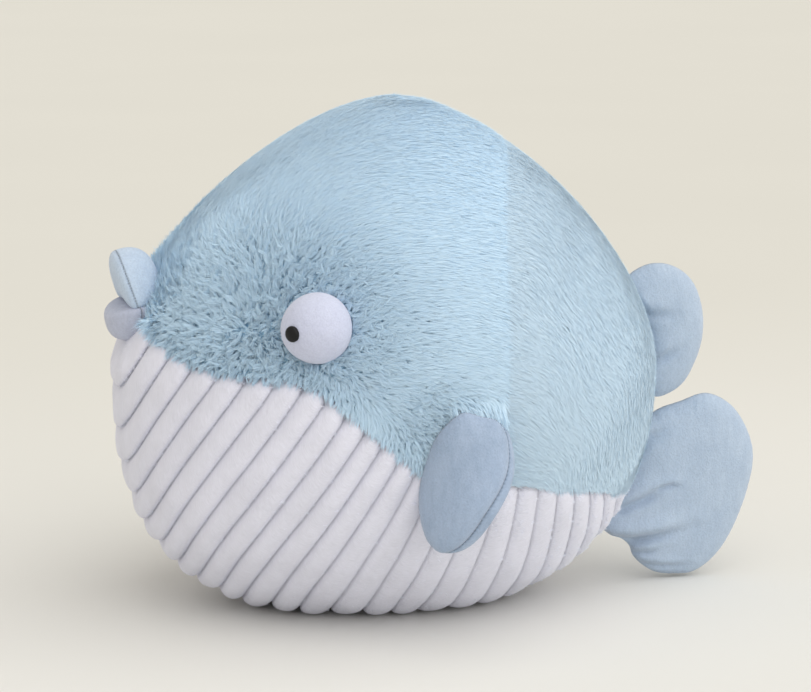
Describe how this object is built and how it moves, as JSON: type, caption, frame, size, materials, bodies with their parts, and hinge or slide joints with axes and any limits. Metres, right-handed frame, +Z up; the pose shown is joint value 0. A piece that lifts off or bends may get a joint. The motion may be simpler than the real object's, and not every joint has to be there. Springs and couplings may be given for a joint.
{
  "type": "plush puffer fish",
  "caption": "Round stuffed puffer fish with shaggy fur, a ribbed belly, ball eyes, padded lips, padded side fins and a two-lobed tail.",
  "frame": {"origin": "on the surface it rests on, under the middle of the whole toy's box", "axes": "+Z up, the fish faces -Y, its left side is +X"},
  "size_m": [0.2672, 0.3072, 0.23],
  "materials": {
    "head_fur": "long curly pile, pale blue",
    "rear_fur": "brushed pile, paler blue",
    "ribbed_cloth": "wide ribbed plush, pale lilac grey",
    "smooth_plush": "short smooth plush, dusty blue",
    "eye_plush": "short smooth plush, very pale lilac",
    "filling": "white fibre filling",
    "black_bead": "glossy black"
  },
  "bodies": {
    "plush_body": {"belly_panel": "ribbed_cloth", "body_stuffing": "filling", "front_fur_left": "head_fur", "front_fur_right": "head_fur", "rear_fur_left": "rear_fur", "rear_fur_right": "rear_fur", "left_eye_ball": "eye_plush", "left_eye_stuffing": "filling", "left_pupil": "black_bead", "right_eye_ball": "eye_plush", "right_eye_stuffing": "filling", "right_pupil": "black_bead", "upper_lip_inner": "smooth_plush", "upper_lip_outer": "smooth_plush", "upper_lip_stuffing": "filling", "lower_lip_inner": "smooth_plush", "lower_lip_outer": "smooth_plush", "lower_lip_stuffing": "filling"},
    "left_fin": {"left_fin_front": "smooth_plush", "left_fin_back": "smooth_plush", "left_fin_stuffing": "filling"},
    "right_fin": {"right_fin_front": "smooth_plush", "right_fin_back": "smooth_plush", "right_fin_stuffing": "filling"},
    "upper_tail": {"upper_tail_left": "smooth_plush", "upper_tail_right": "smooth_plush", "upper_tail_stuffing": "filling"},
    "lower_tail": {"lower_tail_left": "smooth_plush", "lower_tail_right": "smooth_plush", "lower_tail_stuffing": "filling"}
  },
  "joints": [
    {"name": "left_fin_lift", "type": "hinge", "parent": "plush_body", "child": "left_fin", "pos_m": [0.1186, -0.01266, 0.1076], "axis": [0, -1, 0], "range_deg": [0, 70]},
    {"name": "right_fin_lift", "type": "hinge", "parent": "plush_body", "child": "right_fin", "pos_m": [-0.1186, -0.01266, 0.1076], "axis": [0, 1, 0], "range_deg": [0, 70]},
    {"name": "upper_tail_sway", "type": "hinge", "parent": "plush_body", "child": "upper_tail", "pos_m": [0, 0.10104, 0.114], "axis": [0, -0.1676, 0.9859], "range_deg": [-20, 20], "stiffness_Nm_per_rad": 0.001},
    {"name": "lower_tail_sway", "type": "hinge", "parent": "plush_body", "child": "lower_tail", "pos_m": [0, 0.08914, 0.047], "axis": [0, 0.4578, 0.8891], "range_deg": [-20, 20], "stiffness_Nm_per_rad": 0.001}
  ]
}
